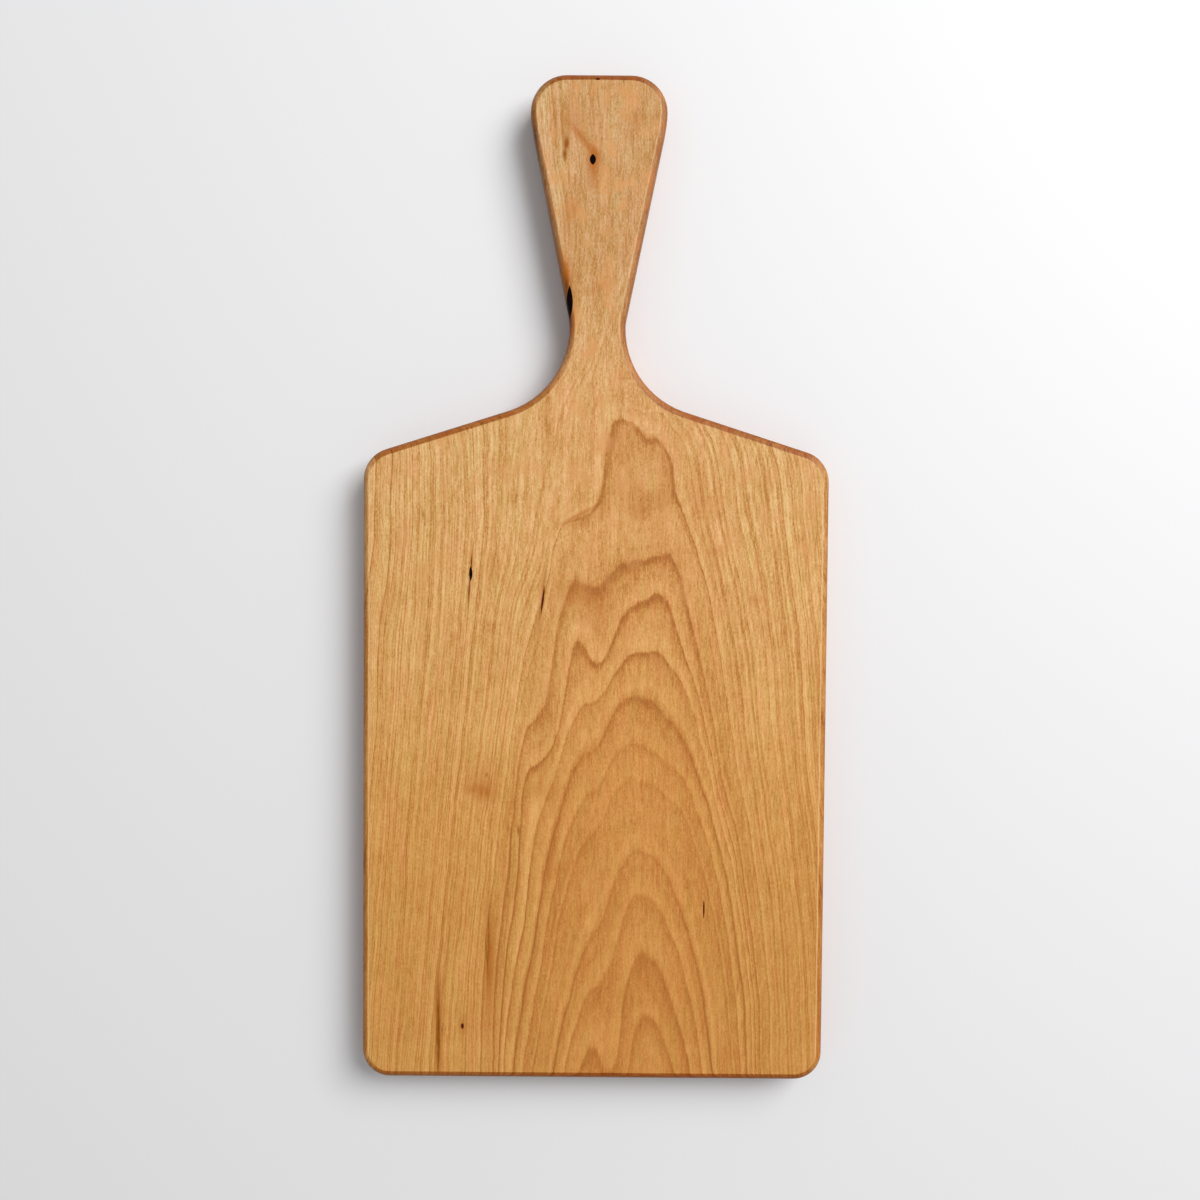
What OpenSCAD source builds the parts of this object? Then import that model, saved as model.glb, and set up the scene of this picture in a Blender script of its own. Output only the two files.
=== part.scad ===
// Paddle serving board: one flat-sawn plank with square shoulders and a flared handle,
// and the dark inclusions of its serving face, each a solid of its own in its own pocket.
// The board lies on its underside. +Z leaves the serving face and +Y runs to the handle.
// Places are stated with the foot at zero, and each piece is then moved to the middle.

/* [Blade] */
// Length from the foot to the end of the handle
board_length = 457.2; // [430:0.1:520]
// Width of the blade
blade_width = 211.7; // [180:0.1:260]
// Thickness of the plank
board_thickness = 19; // [15:0.5:32]
// Radius of the rounded edge round both faces
edge_radius = 3.2; // [1.5:0.1:5]
// Radius of the two corners at the foot
foot_corner_radius = 12.7; // [8:0.1:40]

/* [Shoulders] */
// Radius of the two corners at the shoulders
shoulder_corner_radius = 14.3; // [8:0.1:30]
// Fall of the shoulder line below level, in degrees
shoulder_fall_angle = 17.7; // [8:0.1:30]
// Radius of the hollow sweep from the neck to the shoulder line
shoulder_sweep_radius = 39.6; // [25:0.1:55]

/* [Handle] */
// Length of the handle from the narrowest place of the neck to its end
handle_length = 113; // [100:0.1:130]
// Width of the neck at its narrowest place
neck_width = 25.4; // [20:0.1:34]
// Radius of the hollow from the neck into the side of the handle
neck_hollow_radius = 28.6; // [15:0.1:45]
// Width of the handle at its widest place
handle_width = 61.7; // [52:0.1:75]
// Radius of the swell between the side of the handle and its end corner
handle_swell_radius = 40; // [28:0.1:60]
// Radius of the two corners at the end of the handle
handle_corner_radius = 16.4; // [8:0.1:24]

/* [Neck edge fill] */
// Length of the black fill in the left edge of the neck
neck_fill_length = 15; // [10:0.1:24]
// Width of the neck edge fill
neck_fill_width = 2.9; // [2:0.1:6]
// Depth of the neck edge fill below the serving face
neck_fill_depth = 6.4; // [3:0.1:12]
// Rise of its middle above the narrowest place of the neck
neck_fill_rise = 11; // [0:0.1:14]
// Distance of its middle from the edge of the neck
neck_fill_inset = 2.2; // [1:0.1:4]

/* [Handle knot fill] */
// Length of the black fill in the handle knot
handle_knot_length = 4.8; // [2:0.1:10]
// Width of the handle knot fill
handle_knot_width = 2.7; // [1:0.1:5]
// Depth of the handle knot fill
handle_knot_depth = 5; // [2:0.1:12]
// Distance of the handle knot fill from the end of the handle
handle_knot_drop = 38.3; // [20:0.1:60]
// Offset of the handle knot fill from the centre line, to the left
handle_knot_offset = 2.7; // [0:0.1:12]

/* [Handle end pin knot] */
// Length across the handle of the pin knot in its end
end_pin_length = 2.2; // [1:0.1:4]
// Width of the end pin knot
end_pin_width = 1.1; // [0.6:0.1:3]
// Depth of the end pin knot
end_pin_depth = 4; // [2:0.1:10]
// Distance of the end pin knot from the end of the handle
end_pin_drop = 2.6; // [1.5:0.1:8]
// Offset of the end pin knot from the centre line, to the left
end_pin_offset = 0.7; // [0:0.1:8]

/* [Blade check fill] */
// Length of the black fill in the drying check
check_fill_length = 7; // [5:0.1:24]
// Width of the check fill
check_fill_width = 1.5; // [0.6:0.1:3]
// Depth of the check fill
check_fill_depth = 3; // [1:0.1:10]
// Distance of its middle below the narrowest place of the neck
check_fill_drop = 111.7; // [95:0.1:160]
// Offset of the check fill from the centre line, to the left
check_fill_offset = 56.7; // [40:0.1:70]

/* [Blade pin knot] */
// Length of the pin knot near the foot
blade_pin_length = 2.8; // [1:0.1:6]
// Width of the blade pin knot
blade_pin_width = 1.3; // [0.6:0.1:4]
// Depth of the blade pin knot
blade_pin_depth = 4; // [2:0.1:12]
// Height of the blade pin knot above the foot
blade_pin_height = 24.4; // [15:0.1:60]
// Offset of the blade pin knot from the centre line, to the left
blade_pin_offset = 59.6; // [40:0.1:70]

/* [Gum veins] */
// Length of the left gum vein
left_vein_length = 13.6; // [6:0.1:24]
// Width of the left gum vein
left_vein_width = 0.9; // [0.5:0.1:2]
// Distance of the middle of the left gum vein below the narrowest place of the neck
left_vein_drop = 123.6; // [95:0.1:160]
// Offset of the left gum vein from the centre line, to the left
left_vein_offset = 23.9; // [10:0.1:35]
// Lean of the left gum vein from the grain, in degrees
left_vein_lean_angle = 7; // [0:0.5:15]
// Length of the right gum vein
right_vein_length = 9.4; // [5:0.1:20]
// Width of the right gum vein
right_vein_width = 0.8; // [0.5:0.1:2]
// Height of the middle of the right gum vein above the foot
right_vein_height = 79.5; // [40:0.1:120]
// Offset of the right gum vein from the centre line, to the right
right_vein_offset = 50.8; // [40:0.1:70]
// Depth of both gum veins
vein_depth = 2.4; // [1:0.1:6]

/* [Hidden] */
$fn = 96;

// Gap round each inclusion in its pocket
pocket_clearance = 0.04;
// Overrun of the pockets above the serving face
cut_overrun = 1;
// Facets of the large circles that bound a lens
flank_facets = 720;
// Width of the rim that carries the rounded edge, as a share of its radius
rim_share = 1.5;
// Inset of the core, whose side lies hidden in the rim, as a share of that radius
core_share = 1.25;
// Chords that stand for each arc in the side of the core
core_chords = 6;
// Bite of a straight stretch into the arcs that it meets at a slant, so that the surfaces cross
seam_bite = 0.01;
// Overrun of a straight stretch into a filled arc
filled_overrun = 0.15;
// Overrun of a straight stretch past a hollow arc, inside the wood
hollow_overrun = 2;
// Overlap of the two halves of a straight stretch past the middle of the thickness
half_overlap = 1;
// Turn of a filled arc past its slanted end, inside the wood, in degrees
seam_turn_angle = 4;

rim_width = rim_share * edge_radius;
core_inset = core_share * edge_radius;
half_blade = blade_width / 2;
half_neck = neck_width / 2;
half_handle = handle_width / 2;
neck_height = board_length - handle_length;

// Unit vector at an angle
function ray(angle) = [cos(angle), sin(angle)];

// Centres of the arcs down the right side of the board
end_corner_centre = [half_handle - handle_corner_radius, board_length - handle_corner_radius];
swell_centre = [half_handle - handle_swell_radius, end_corner_centre.y];
hollow_centre = [half_neck + neck_hollow_radius, neck_height];
sweep_centre = [half_neck + shoulder_sweep_radius, neck_height];
foot_corner_centre = [half_blade - foot_corner_radius, foot_corner_radius];

// The straight side of the handle touches the swell inside and the hollow outside
swell_to_hollow = hollow_centre - swell_centre;
tangent_angle = acos((neck_hollow_radius + handle_swell_radius) / norm(swell_to_hollow));
side_lean_angle = -atan2(swell_to_hollow.y, swell_to_hollow.x) - tangent_angle;

// The shoulder line leaves the sweep and touches the shoulder corner
sweep_end = sweep_centre + shoulder_sweep_radius * ray(270 - shoulder_fall_angle);
shoulder_corner_x = half_blade - shoulder_corner_radius;
shoulder_drop = (shoulder_corner_x - sweep_end.x) * tan(shoulder_fall_angle)
    + shoulder_corner_radius / cos(shoulder_fall_angle);
shoulder_corner_centre = [shoulder_corner_x, sweep_end.y - shoulder_drop];

// Arcs from the end of the handle to the foot: centre, radius, first and last angle,
// and 1 where the wood fills the arc or -1 where the arc is a hollow
ARCS = [
    [end_corner_centre, handle_corner_radius, 90, 0, 1],
    [swell_centre, handle_swell_radius, 0, -side_lean_angle, 1],
    [hollow_centre, neck_hollow_radius, 180 - side_lean_angle, 180, -1],
    [sweep_centre, shoulder_sweep_radius, 180, 270 - shoulder_fall_angle, -1],
    [shoulder_corner_centre, shoulder_corner_radius, 90 - shoulder_fall_angle, 0, 1],
    [foot_corner_centre, foot_corner_radius, 0, -90, 1]
];
// Arcs that a straight stretch follows: swell, sweep and shoulder corner
STRAIGHT_AFTER = [1, 3, 4];

// Point of an arc at an angle, moved into the wood by the inset
function arc_point(arc, angle, inset = 0) = arc[0] + (arc[1] - arc[4] * inset) * ray(angle);

// Point that is the mirror image across the centre line
function mirrored(point) = [-point.x, point.y];

// An end at a whole quarter turn meets its neighbour squarely
function is_square(angle) = angle % 90 == 0;

// Place where a straight stretch meets an arc
function seam(arc, angle) = arc_point(arc, angle, is_square(angle) ? 0 : arc[4] * seam_bite);

// Length by which a straight stretch runs on past its seam
function lap(arc, angle) = is_square(angle) ? 0 : arc[4] > 0 ? filled_overrun : hollow_overrun;

// Straight stretch from the last angle of one arc to the first angle of the next
function straight(arc, next) =
    let (
        start = seam(arc, arc[3]),
        end = seam(next, next[2]),
        way = (end - start) / norm(end - start)
    )
    [start - lap(arc, arc[3]) * way, end + lap(next, next[2]) * way];

RUNS = [for (i = STRAIGHT_AFTER) straight(ARCS[i], ARCS[i + 1])];
end_corner = arc_point(ARCS[0], 90);
foot_corner = arc_point(ARCS[5], -90);

// Half width of the neck at a height within its hollow
function neck_side(height) = half_neck + neck_hollow_radius
    - sqrt(pow(neck_hollow_radius, 2) - pow(height - neck_height, 2));

neck_fill_height = neck_height + neck_fill_rise;
neck_fill_place = [neck_fill_inset - neck_side(neck_fill_height), neck_fill_height];
handle_knot_place = [-handle_knot_offset, board_length - handle_knot_drop];
end_pin_place = [-end_pin_offset, board_length - end_pin_drop];
check_fill_place = [-check_fill_offset, neck_height - check_fill_drop];
blade_pin_place = [-blade_pin_offset, blade_pin_height];
left_vein_place = [-left_vein_offset, neck_height - left_vein_drop];
right_vein_place = [right_vein_offset, right_vein_height];

// Section of the rim, from its rounded edge at zero inwards
module rim_section() {
    translate([edge_radius, 0])
        square([rim_width - edge_radius, board_thickness]);
    translate([0, edge_radius])
        square([rim_width, board_thickness - 2 * edge_radius]);
    for (height = [edge_radius, board_thickness - edge_radius])
        translate([edge_radius, height])
            circle(edge_radius);
}

// Rim round an arc, rounded on its outer side where filled and on its inner side where hollow.
// It starts from its square end, and a filled arc turns on past its slanted end.
module rim_arc(arc) {
    start_angle = is_square(arc[3]) ? arc[3] : arc[2];
    end_angle = is_square(arc[3]) ? arc[2] : arc[3];
    extra_angle = is_square(end_angle) || arc[4] < 0 ? 0 : seam_turn_angle;
    turn = end_angle - start_angle;
    translate(arc[0])
        rotate(start_angle)
            rotate_extrude(angle = turn + sign(turn) * extra_angle)
                translate([arc[1], 0])
                    mirror([arc[4] > 0 ? 1 : 0, 0])
                        rim_section();
}

// Lower half of the rim's section, which runs on a little above the middle
module half_rim_section() {
    intersection() {
        rim_section();
        square([rim_width, board_thickness / 2 + half_overlap]);
    }
}

// Rim along a straight stretch, with the wood on the right hand of its way. Its halves stand
// each on its own face of the board, so that both faces stay exactly level with the core.
module rim_run(run) {
    way = run[1] - run[0];
    for (half = [0, 1])
        translate([run[0].x, run[0].y, half * board_thickness])
            mirror([0, 0, half])
                rotate(atan2(way.y, way.x) + 90)
                    rotate([90, 0, 0])
                        linear_extrude(norm(way))
                            mirror([1, 0])
                                half_rim_section();
}

// Rim down one side of the board
module rim_side() {
    for (arc = ARCS)
        rim_arc(arc);
    for (run = RUNS)
        rim_run(run);
}

// Straight-sided middle of the board, whose side lies hidden in the rim
module core() {
    side = [
        for (arc = ARCS)
            for (i = [0 : core_chords])
                arc_point(arc, arc[2] + (arc[3] - arc[2]) * i / core_chords, core_inset)
    ];
    other_side = [for (i = [len(side) - 1 : -1 : 0]) mirrored(side[i])];
    linear_extrude(board_thickness)
        polygon(concat(side, other_side));
}

// Outer form of the board, before its pockets
module board_form() {
    core();
    rim_side();
    mirror([1, 0, 0])
        rim_side();
    rim_run([mirrored(end_corner), end_corner]);
    rim_run([foot_corner, mirrored(foot_corner)]);
}

// Lens outline with its points along Y
module lens(length, width) {
    flank_radius = (pow(length, 2) + pow(width, 2)) / (4 * width);
    intersection() {
        translate([flank_radius - width / 2, 0])
            circle(flank_radius, $fn = flank_facets);
        translate([width / 2 - flank_radius, 0])
            circle(flank_radius, $fn = flank_facets);
    }
}

// Upright lens from its depth to the serving face, or past it by the overrun.
// A gap makes it the pocket of the inclusion of that size.
module inclusion(place, size, lean = 0, gap = 0, overrun = 0) {
    translate([place.x, place.y, board_thickness - size.z - gap])
        rotate(lean)
            linear_extrude(size.z + gap + overrun)
                lens(size.y + 2 * gap, size.x + 2 * gap);
}

module neck_fill_shape(gap = 0) {
    size = [neck_fill_width, neck_fill_length, neck_fill_depth];
    inclusion(neck_fill_place, size, 0, gap, cut_overrun);
}

module handle_knot_shape(gap = 0, overrun = 0) {
    size = [handle_knot_width, handle_knot_length, handle_knot_depth];
    inclusion(handle_knot_place, size, 0, gap, overrun);
}

module end_pin_shape(gap = 0) {
    size = [end_pin_width, end_pin_length, end_pin_depth];
    inclusion(end_pin_place, size, 90, gap, cut_overrun);
}

module check_fill_shape(gap = 0, overrun = 0) {
    size = [check_fill_width, check_fill_length, check_fill_depth];
    inclusion(check_fill_place, size, 0, gap, overrun);
}

module blade_pin_shape(gap = 0, overrun = 0) {
    size = [blade_pin_width, blade_pin_length, blade_pin_depth];
    inclusion(blade_pin_place, size, 0, gap, overrun);
}

module left_vein_shape(gap = 0, overrun = 0) {
    size = [left_vein_width, left_vein_length, vein_depth];
    inclusion(left_vein_place, size, -left_vein_lean_angle, gap, overrun);
}

module right_vein_shape(gap = 0, overrun = 0) {
    size = [right_vein_width, right_vein_length, vein_depth];
    inclusion(right_vein_place, size, 0, gap, overrun);
}

// Moves the foot at zero back, so that the origin lies below the middle of the board
module centred() {
    translate([0, -board_length / 2, 0])
        children();
}

// The plank: blade, shoulders, neck and handle in one piece of cherry
module cherry_plank() {
    color("peru")
        centred()
            difference() {
                board_form();
                neck_fill_shape(pocket_clearance);
                handle_knot_shape(pocket_clearance, cut_overrun);
                end_pin_shape(pocket_clearance);
                check_fill_shape(pocket_clearance, cut_overrun);
                blade_pin_shape(pocket_clearance, cut_overrun);
                left_vein_shape(pocket_clearance, cut_overrun);
                right_vein_shape(pocket_clearance, cut_overrun);
            }
}

// Glossy black fill that follows the rounded edge of the neck
module neck_edge_fill() {
    color("black")
        centred()
            intersection() {
                board_form();
                neck_fill_shape();
            }
}

module handle_knot_fill() {
    color("black")
        centred()
            handle_knot_shape();
}

// Dark pin knot that follows the rounded end of the handle
module handle_end_pin_knot() {
    color("maroon")
        centred()
            intersection() {
                board_form();
                end_pin_shape();
            }
}

module blade_check_fill() {
    color("black")
        centred()
            check_fill_shape();
}

module blade_pin_knot() {
    color("maroon")
        centred()
            blade_pin_shape();
}

module left_gum_vein() {
    color("maroon")
        centred()
            left_vein_shape();
}

module right_gum_vein() {
    color("maroon")
        centred()
            right_vein_shape();
}

cherry_plank();
neck_edge_fill();
handle_knot_fill();
handle_end_pin_knot();
blade_check_fill();
blade_pin_knot();
left_gum_vein();
right_gum_vein();
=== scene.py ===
"""Dresses the paddle serving board: oiled flat-sawn cherry, black fills and dark gum."""

import math

import bpy
from bpy.props import FloatProperty, FloatVectorProperty, PointerProperty
from bpy.types import Operator, Panel, PropertyGroup
from mathutils import Matrix, Vector


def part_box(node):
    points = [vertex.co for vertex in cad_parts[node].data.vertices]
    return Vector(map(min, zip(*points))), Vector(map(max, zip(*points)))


bl_info = {
    "name": "Paddle Serving Board",
    "version": (1, 0, 0),
    "blender": (4, 5, 0),
    "location": "3D View > Sidebar > Board",
    "description": "Oiled flat-sawn cherry board with black fills, dark gum and a plain studio",
    "category": "Object",
}

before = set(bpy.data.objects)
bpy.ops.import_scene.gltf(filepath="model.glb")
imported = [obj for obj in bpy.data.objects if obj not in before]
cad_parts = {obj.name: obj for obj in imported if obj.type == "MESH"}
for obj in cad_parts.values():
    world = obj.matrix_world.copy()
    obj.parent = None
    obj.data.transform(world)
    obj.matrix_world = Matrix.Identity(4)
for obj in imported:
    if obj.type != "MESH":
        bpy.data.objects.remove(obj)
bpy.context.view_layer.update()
PLANK = "cherry_plank"
BLACK_FILLS = ("neck_edge_fill", "handle_knot_fill", "blade_check_fill")
GUM_PIECES = ("handle_end_pin_knot", "blade_pin_knot", "left_gum_vein", "right_gum_vein")

MM = 0.001
PLANK_LOW, PLANK_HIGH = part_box(PLANK)
THICKNESS_MM = (PLANK_HIGH.z - PLANK_LOW.z) / MM
# Radius of the rounded edges of the plank, in metres
EDGE_ROUND = 3.2 * MM


# Settings

MOST_TINT = 2.0
MOST_CONTRAST = 99.0


def colour(name, description, default):
    return FloatVectorProperty(
        name=name,
        description=description,
        subtype="COLOR",
        size=3,
        min=0.0,
        max=MOST_TINT,
        default=default,
    )


def amount(name, description, default, low=0.0, high=1.0):
    return FloatProperty(
        name=name, description=description, default=default, min=low, max=high
    )


def contrast(name, description, default):
    return amount(name, description, default, 0.0, MOST_CONTRAST)


def length(name, description, default):
    return FloatProperty(
        name=name,
        description=description,
        default=default,
        min=0.0,
        subtype="DISTANCE",
        unit="LENGTH",
    )


def angle(name, description, degrees):
    return FloatProperty(
        name=name,
        description=description,
        default=math.radians(degrees),
        subtype="ANGLE",
        unit="ROTATION",
    )


class BoardStage(PropertyGroup):
    camera_distance: length("Camera distance", "From the camera to the board", 0.5486)
    camera_tilt: angle("Camera tilt", "Lean of the view towards the foot", 1.85)
    camera_roll: angle("Camera roll", "Turn of the camera about its own axis", 0.46)
    aim_right: length("Aim right", "Aim of the camera right of the centre line", 0.0021)
    aim_up: FloatProperty(
        name="Aim up",
        description="Aim of the camera from the middle towards the handle",
        default=-0.0078,
        subtype="DISTANCE",
        unit="LENGTH",
    )
    floor_colour: colour("Floor", "Colour of the plain floor", (0.80, 0.80, 0.81))
    key_power: amount("Key lamp", "Power of the large soft lamp, in watts", 66.0, 0.0, 100.0)
    sky_strength: amount("Sky", "Strength of the even light from all round", 0.38, 0.0, 5.0)


class BoardCherry(PropertyGroup):
    deep_wood: colour("Deep wood", "Darkest fibres", (0.37, 0.125, 0.014))
    ring_wood: colour("Ring wood", "Late wood lines", (0.49, 0.212, 0.044))
    mid_wood: colour("Mid wood", "Wood between the rings", (0.615, 0.33, 0.115))
    light_wood: colour("Light wood", "Early wood", (0.715, 0.417, 0.184))
    # Also the colour of the painted highlight on the rounded edges
    silk_and_highlight_wood: colour("Silk", "Light fibres of the silky figure", (0.80, 0.505, 0.26))
    rust_wood: colour("Rust wood", "Halos of the knots and gum", (0.44, 0.13, 0.012))
    gum_wood: colour("Gum wood", "Brown streaks", (0.30, 0.088, 0.002))
    thread_wood: colour("Thread wood", "Thin dark threads", (0.05, 0.008, 0.001))
    heart_tint: colour("Heart", "Tint along the heart line", (0.985, 0.965, 0.94))
    flank_tint: colour("Flanks", "Tint of the plank's sides", (1.0, 1.06, 1.07))
    golden: colour("Golden", "Tint of the golden fibres", (0.95, 1.07, 0.94))
    rosy: colour("Rosy", "Tint of the rosy fibres", (1.05, 0.93, 1.01))
    # Oil on the end grain, and painted shade on the rounded edges
    edge_oil_and_shade: colour("Edge wood", "Oiled end grain", (0.45, 0.20, 0.02))
    # Painted shade on the outermost rim of the rounded edges
    painted_rim_shade: colour("Rim wood", "Outermost rim of the edges", (0.50, 0.28, 0.10))
    blush_wood: colour("Blush wood", "Orange clouds", (0.66, 0.295, 0.095))
    amber: colour("Amber", "Tint that grows towards the foot", (1.0, 0.81, 0.48))
    pale: colour("Pale", "Tint that grows towards the handle's end", (0.97, 1.06, 1.36))
    speck_contrast: contrast("Specks", "Contrast of the specks", 62.0)
    thread_contrast: contrast("Threads", "Contrast of the threads", 50.0)
    bundle_contrast: contrast("Bundles", "Contrast of the fibre bundles", 36.0)
    figure_contrast: contrast("Figure", "Contrast of the silky figure", 26.0)
    tone_contrast: contrast("Ring tones", "Contrast from ring to ring", 20.0)
    layer_contrast: contrast("Layers", "Contrast of the fine layers of a ring", 56.0)
    flank_contrast: contrast("Flank lines", "Contrast of the flanks' lines", 13.0)
    single_contrast: contrast("Single lines", "Darkness of the single lines", 45.0)
    ring_contrast: contrast("Ring lines", "Darkness of the thin ring lines", 34.0)
    shade_contrast: contrast("Ring shades", "Darkness beside the ring lines", 13.0)
    roughness: amount("Roughness", "Roughness of the oiled face", 0.45)
    shine: amount("Shine", "Strength of the oiled face's reflection", 0.2)


class BoardFill(PropertyGroup):
    fill_colour: colour("Fill", "Glossy black fill", (0.004, 0.0015, 0.001))
    gum_colour: colour("Gum", "Dark red gum and pin knots", (0.085, 0.012, 0.005))
    fill_roughness: amount("Fill roughness", "Roughness of the black fills", 0.12)
    gum_roughness: amount("Gum roughness", "Roughness of the gum and pin knots", 0.3)
    shine: amount("Shine", "Strength of the fills' and the gum's reflection", 0.05)


SETTINGS = {
    "board_stage": BoardStage,
    "board_cherry": BoardCherry,
    "board_fill": BoardFill,
}


# Node tools

FLOAT, VECTOR = "NodeSocketFloat", "NodeSocketVector"
# Room that a node takes in the editor, and how many stand in a row
NODE_WIDTH, NODE_HEIGHT, NODES_IN_ROW = 180, 220, 12
# Colour sockets of the mix node, which has others of the same names
MIX_FIRST, MIX_SECOND, MIX_RESULT = 6, 7, 2


class Weave:
    """Adds nodes to a tree and links them, so that a formula reads as one line."""

    def __init__(self, tree):
        self.tree = tree
        self.count = 0

    def node(self, kind, **settings):
        made = self.tree.nodes.new(kind)
        row, column = divmod(self.count, NODES_IN_ROW)
        made.location = (NODE_WIDTH * column, -NODE_HEIGHT * row)
        self.count += 1
        for name, value in settings.items():
            setattr(made, name, value)
        return made

    def feed(self, socket, value):
        if isinstance(value, bpy.types.NodeSocket):
            self.tree.links.new(value, socket)
        else:
            socket.default_value = value

    def math(self, operation, *values, clamp=False):
        made = self.node("ShaderNodeMath", operation=operation, use_clamp=clamp)
        for socket, value in zip(made.inputs, values):
            self.feed(socket, value)
        return made.outputs[0]

    def add(self, a, b):
        return self.math("ADD", a, b)

    def sub(self, a, b):
        return self.math("SUBTRACT", a, b)

    def mul(self, a, b):
        return self.math("MULTIPLY", a, b)

    def div(self, a, b):
        return self.math("DIVIDE", a, b)

    def most(self, a, b):
        return self.math("MAXIMUM", a, b)

    def plus(self, start, value, gain):
        """The start plus a value times its gain."""
        return self.math("MULTIPLY_ADD", value, gain, start)

    def between(self, share, low, high):
        """Goes from low, where the share is 0, to high, where it's 1."""
        return self.plus(low, share, high - low)

    def weaken(self, value, share, loss):
        """Takes a part of the value, the loss, off it where the share is 1."""
        return self.mul(value, self.plus(1.0, share, -loss))

    def root_of_squares(self, a, b):
        return self.math("SQRT", self.add(self.mul(a, a), self.mul(b, b)))

    def total(self, values):
        out = values[0]
        for value in values[1:]:
            out = self.add(out, value)
        return out

    def bell(self, value, centre, spread):
        """Bell curve of a value: 1 at its centre, falling off over the spread."""
        reach = self.div(self.sub(value, centre), spread)
        return self.math("EXPONENT", self.mul(self.mul(reach, reach), -1.0))

    def fall_off(self, vector):
        """1 at the origin, falling off as a bell with the vector's length."""
        square = self.node("ShaderNodeVectorMath", operation="DOT_PRODUCT")
        self.feed(square.inputs[0], vector)
        self.feed(square.inputs[1], vector)
        return self.math("POWER", 1 / math.e, square.outputs["Value"])

    def patch(self, place, middle, spread):
        """Soft patch, as deep as the plank: 1 at its middle, falling off over its spread."""
        (across, along), (wide, long) = middle, spread
        made = self.node("ShaderNodeVectorMath", operation="MULTIPLY_ADD")
        self.feed(made.inputs[0], place)
        made.inputs[1].default_value = (1 / wide, 1 / long, 0.0)
        made.inputs[2].default_value = (-across / wide, -along / long, 0.0)
        return self.fall_off(made.outputs[0])

    def ramp(self, value, low, high, smooth=True):
        """Rises from 0 at low to 1 at high, which may also be the lesser of the two."""
        made = self.node(
            "ShaderNodeMapRange",
            interpolation_type="SMOOTHSTEP" if smooth else "LINEAR",
        )
        self.feed(made.inputs["Value"], value)
        self.feed(made.inputs["From Min"], low)
        self.feed(made.inputs["From Max"], high)
        return made.outputs["Result"]

    def curve(self, value, points):
        """Runs a value through straight lines between points, all from 0 to 1."""
        made = self.node("ShaderNodeFloatCurve")
        spots = made.mapping.curves[0].points
        while len(spots) < len(points):
            spots.new(0.5, 0.5)
        for spot, point in zip(spots, points):
            spot.location = point
            spot.handle_type = "VECTOR"
        made.mapping.update()
        self.feed(made.inputs["Value"], value)
        return made.outputs[0]

    def split(self, vector):
        made = self.node("ShaderNodeSeparateXYZ")
        self.feed(made.inputs[0], vector)
        return made.outputs["X"], made.outputs["Y"], made.outputs["Z"]

    def join(self, x, y, z):
        made = self.node("ShaderNodeCombineXYZ")
        for socket, value in zip(made.inputs, (x, y, z)):
            self.feed(socket, value)
        return made.outputs[0]

    def stretch(self, vector, scale):
        made = self.node("ShaderNodeVectorMath", operation="MULTIPLY")
        self.feed(made.inputs[0], vector)
        made.inputs[1].default_value = scale
        return made.outputs[0]

    def noise(self, place, waves, detail, roughness):
        """Noise with so many waves to a unit of length in each direction."""
        made = self.node("ShaderNodeTexNoise")
        self.feed(made.inputs["Vector"], self.stretch(place, waves))
        made.inputs["Scale"].default_value = 1.0
        made.inputs["Detail"].default_value = detail
        made.inputs["Roughness"].default_value = roughness
        return made.outputs["Fac"]

    def noise_along(self, value, detail):
        """Noise of a single value."""
        made = self.node("ShaderNodeTexNoise", noise_dimensions="1D")
        self.feed(made.inputs["W"], value)
        made.inputs["Scale"].default_value = 1.0
        made.inputs["Detail"].default_value = detail
        return made.outputs["Fac"]

    def even(self, noise):
        """Noise that swings evenly about zero."""
        return self.sub(noise, 0.5)

    def mix(self, share, a, b, blend="MIX"):
        made = self.node("ShaderNodeMix", data_type="RGBA", blend_type=blend)
        self.feed(made.inputs["Factor"], share)
        for index, tint in ((MIX_FIRST, a), (MIX_SECOND, b)):
            plain = not isinstance(tint, bpy.types.NodeSocket)
            self.feed(made.inputs[index], (*tint, 1.0) if plain else tint)
        return made.outputs[MIX_RESULT]

    def tint(self, base, tint, share=1.0):
        """Multiplies a colour by a tint, as far as the share goes."""
        return self.mix(share, base, tint, "MULTIPLY")

    def place(self, group, **inputs):
        """Places a node group and feeds its inputs by name."""
        made = self.node("ShaderNodeGroup")
        made.node_tree = group
        for name, value in inputs.items():
            self.feed(made.inputs[name.replace("_", " ").capitalize()], value)
        return made.outputs


def new_group(name, inputs, outputs):
    """New shader node group with named sockets, given as (kind, name, default)."""
    group = bpy.data.node_groups.new(name, "ShaderNodeTree")
    for kind, label, default in inputs:
        socket = group.interface.new_socket(label, in_out="INPUT", socket_type=kind)
        if default is not None:
            socket.default_value = default
    for kind, label in outputs:
        group.interface.new_socket(label, in_out="OUTPUT", socket_type=kind)
    weave = Weave(group)
    given = weave.node("NodeGroupInput").outputs
    wanted = weave.node("NodeGroupOutput").inputs
    return group, weave, given, wanted


def new_material(name):
    made = bpy.data.materials.new(name)
    made.use_nodes = True
    made.node_tree.nodes.clear()
    weave = Weave(made.node_tree)
    shader = weave.node("ShaderNodeBsdfPrincipled")
    output = weave.node("ShaderNodeOutputMaterial")
    weave.feed(output.inputs["Surface"], shader.outputs[0])
    return made, weave, shader


def dress(node_name, material):
    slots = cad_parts[node_name].data.materials
    slots.clear()
    slots.append(material)


# Growth rings

# Lengths are in millimetres. The heart line, the bumps and the arch depths go back to a
# fit of this depth field to the board's own arches, and were rounded after it.
HEART_LINE = 18.0
# Swings of the heart line from side to side: shift, place along, spread
HEART_SWINGS = ((1.2, -30.0, 41.0), (-12.8, 86.5, 18.0))
HEART_DEPTH = 90.0
# Rise of the rings for each millimetre towards the handle
TAPER = 0.06
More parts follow.
